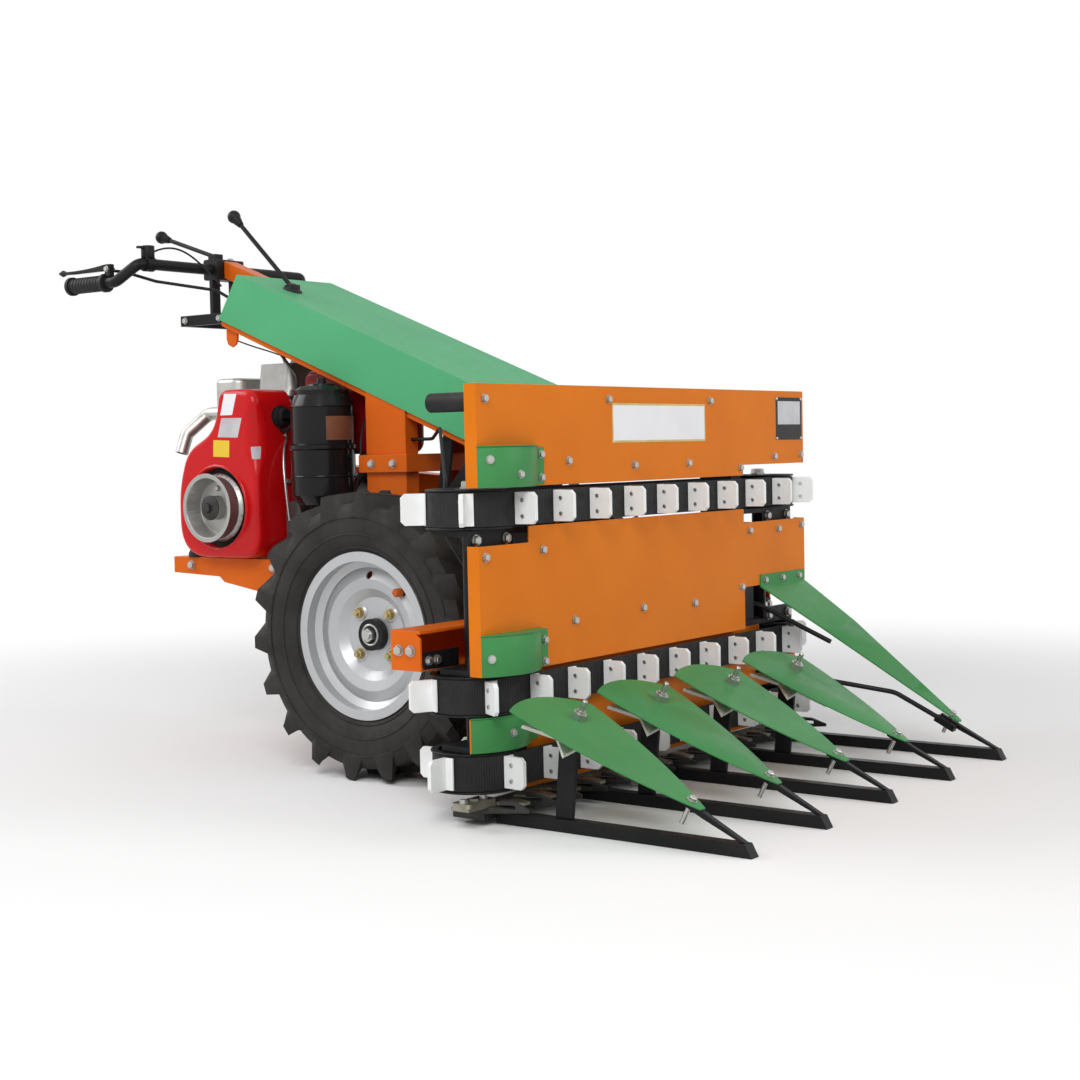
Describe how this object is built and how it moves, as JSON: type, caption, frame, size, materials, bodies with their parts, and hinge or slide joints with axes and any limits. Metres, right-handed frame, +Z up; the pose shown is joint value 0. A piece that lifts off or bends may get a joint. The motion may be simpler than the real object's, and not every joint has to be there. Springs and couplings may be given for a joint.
{
  "type": "walk-behind crop reaper",
  "caption": "Walk-behind reaper: two-wheel tractor with a small diesel engine behind, upright lugged-belt crop header, star wheels, dividers and cutter bar in front.",
  "frame": {"origin": "middle of the footprint at ground level", "axes": "+X forward to the divider noses, +Y to the machine's left, +Z up"},
  "size_m": [1.937, 1.2412, 1.204],
  "materials": {
    "orange_paint": "semi-gloss orange paint",
    "frame_paint": "semi-gloss deep orange paint",
    "green_paint": "semi-gloss green paint",
    "red_paint": "gloss red paint",
    "red_tank": "gloss red",
    "black_paint": "satin black paint",
    "black_plastic": "gloss black",
    "rubber": "matt black rubber",
    "tyre": "matt tyre rubber",
    "rim_silver": "silver paint",
    "cast_alloy": "as-cast, oily",
    "cast_iron": "as-cast",
    "bright_steel": "zinc plated",
    "white_plastic": "satin white",
    "cream_plastic": "satin cream"
  },
  "bodies": {
    "chassis": {"gearbox": "cast_iron", "chassis_rails": "frame_paint", "engine_bed": "frame_paint", "deck": "frame_paint", "engine_block": "cast_alloy", "cylinder_head": "cast_alloy", "engine_shroud": "red_paint", "air_filter": "black_plastic", "fuel_tank": "red_tank", "tank_cap": "black_plastic", "muffler": "bright_steel", "posts": "frame_paint", "post_collar": "frame_paint", "handle_column": "frame_paint", "hood": "green_paint", "handle_head": "black_paint", "handle_hanger": "black_paint", "handlebar_right": "black_paint", "handlebar_left": "black_paint", "grips": "rubber", "hand_levers": "black_paint", "gear_levers": "black_paint", "control_cables": "black_plastic", "drive_guard": "frame_paint", "header_arms": "frame_paint", "crossbeam": "frame_paint", "header_uprights": "frame_paint", "top_panel": "orange_paint", "lower_panel": "orange_paint", "skirt": "orange_paint", "drum_stacks": "black_paint", "drum_brackets": "black_paint", "belt_top": "rubber", "belt_middle": "rubber", "belt_lower": "rubber", "lugs_top": "white_plastic", "lugs_middle": "white_plastic", "lugs_lower": "white_plastic", "shoe_bars": "black_paint", "shoe_posts": "black_paint", "nose_rods": "black_paint", "leaves": "green_paint", "star_pins": "bright_steel", "end_divider": "green_paint", "guide_rods": "black_paint", "belt_guards": "green_paint", "lifting_grips": "rubber", "cutter_bar": "black_paint"},
    "wheel_right": {"tyre_right": "tyre", "rim_right": "rim_silver", "hub_right": "cast_iron"},
    "wheel_left": {"tyre_left": "tyre", "rim_left": "rim_silver", "hub_left": "cast_iron"},
    "starter": {"starter_pulley": "bright_steel"},
    "knife": {"knife": "bright_steel"},
    "star_1": {"star_wheel_1": "cream_plastic"},
    "star_2": {"star_wheel_2": "cream_plastic"},
    "star_3": {"star_wheel_3": "cream_plastic"},
    "star_4": {"star_wheel_4": "cream_plastic"}
  },
  "joints": [
    {"name": "wheel_right_spin", "type": "hinge", "parent": "chassis", "child": "wheel_right", "pos_m": [-0.0115, -0.29, 0.287], "axis": [0, 1, 0], "continuous": true},
    {"name": "wheel_left_spin", "type": "hinge", "parent": "chassis", "child": "wheel_left", "pos_m": [-0.0115, 0.29, 0.287], "axis": [0, 1, 0], "continuous": true},
    {"name": "star_1_spin", "type": "hinge", "parent": "chassis", "child": "star_1", "pos_m": [0.6285, -0.5, 0.192], "axis": [0.4588, 0, 0.8885], "continuous": true},
    {"name": "star_2_spin", "type": "hinge", "parent": "chassis", "child": "star_2", "pos_m": [0.6285, -0.25, 0.192], "axis": [0.4588, 0, 0.8885], "continuous": true},
    {"name": "star_3_spin", "type": "hinge", "parent": "chassis", "child": "star_3", "pos_m": [0.6285, 0, 0.192], "axis": [0.4588, 0, 0.8885], "continuous": true},
    {"name": "star_4_spin", "type": "hinge", "parent": "chassis", "child": "star_4", "pos_m": [0.6285, 0.25, 0.192], "axis": [0.4588, 0, 0.8885], "continuous": true},
    {"name": "starter_spin", "type": "hinge", "parent": "chassis", "child": "starter", "pos_m": [-0.5195, -0.24, 0.535], "axis": [0, 1, 0], "continuous": true},
    {"name": "knife_slide", "type": "slide", "parent": "chassis", "child": "knife", "axis": [0, 1, 0], "range_m": [-0.025, 0.025]}
  ]
}
